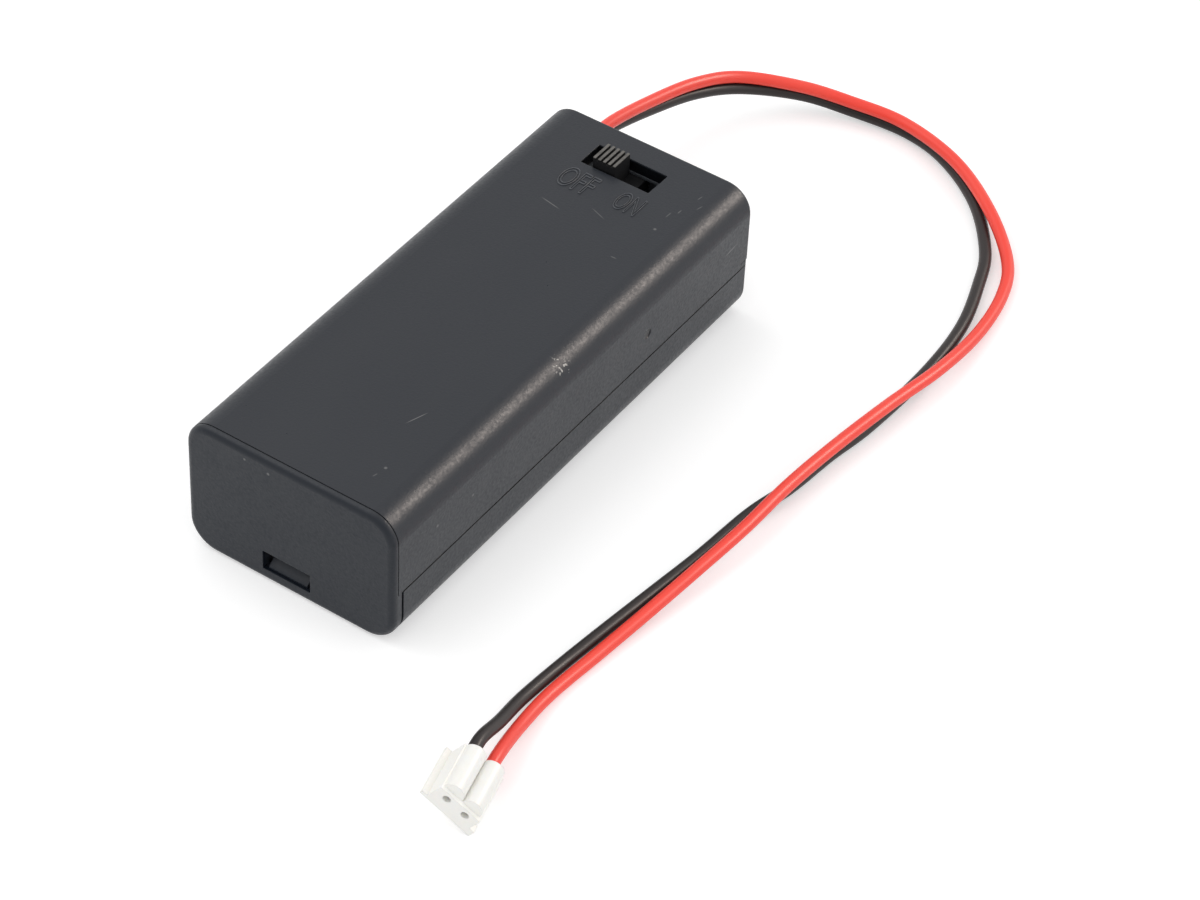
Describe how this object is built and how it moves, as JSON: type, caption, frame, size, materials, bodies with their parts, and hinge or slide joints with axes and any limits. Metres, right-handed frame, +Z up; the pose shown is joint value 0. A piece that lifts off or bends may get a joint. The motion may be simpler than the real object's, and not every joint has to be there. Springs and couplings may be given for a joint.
{
  "type": "cylindrical cell holder",
  "caption": "Enclosed holder for small round cells side by side, with a clip-on bottom cover, a slide switch on top and a wire lead ending in a small crimp plug.",
  "frame": {"origin": "middle of the box's footprint, on the plane it stands on", "axes": "+Y along the box from the latch end to the wire end, +Z up, +X towards the ON side of the switch"},
  "size_m": [0.0525, 0.1238, 0.0188],
  "materials": {
    "box": "satin moulded black, fine grain",
    "knob": "satin dark warm grey",
    "steel": "nickel plated, plain",
    "case_steel": "blackened sheet steel, matt",
    "brass": "plain, unpolished",
    "phenolic": "black moulded phenolic, matt",
    "solder": "dull solder",
    "red_sleeve": "soft red sleeve, satin",
    "black_sleeve": "soft black sleeve, satin",
    "plug": "natural white nylon, satin"
  },
  "bodies": {
    "holder": {"body_shell": "box", "switch_case": "case_steel", "switch_base": "phenolic", "switch_terminal_off": "brass", "switch_terminal_common": "brass", "switch_terminal_on": "brass", "negative_plate": "steel", "negative_spring": "steel", "positive_plate": "steel", "bridge_plate": "steel", "bridge_spring": "steel", "link_wire": "red_sleeve", "solder_joints": "solder", "red_wire": "red_sleeve", "black_wire": "black_sleeve", "plug_housing": "plug", "plug_terminal_red": "steel", "plug_terminal_black": "steel"},
    "cover": {"battery_cover": "box"},
    "slider": {"switch_knob": "knob", "switch_contact": "brass"}
  },
  "joints": [
    {"name": "cover_hinge", "type": "hinge", "parent": "holder", "child": "cover", "pos_m": [0, 0.0335, 0.00795], "axis": [1, 0, 0], "range_deg": [0, 80]},
    {"name": "knob_slide", "type": "slide", "parent": "holder", "child": "slider", "axis": [1, 0, 0], "range_m": [0, 0.0035]}
  ]
}
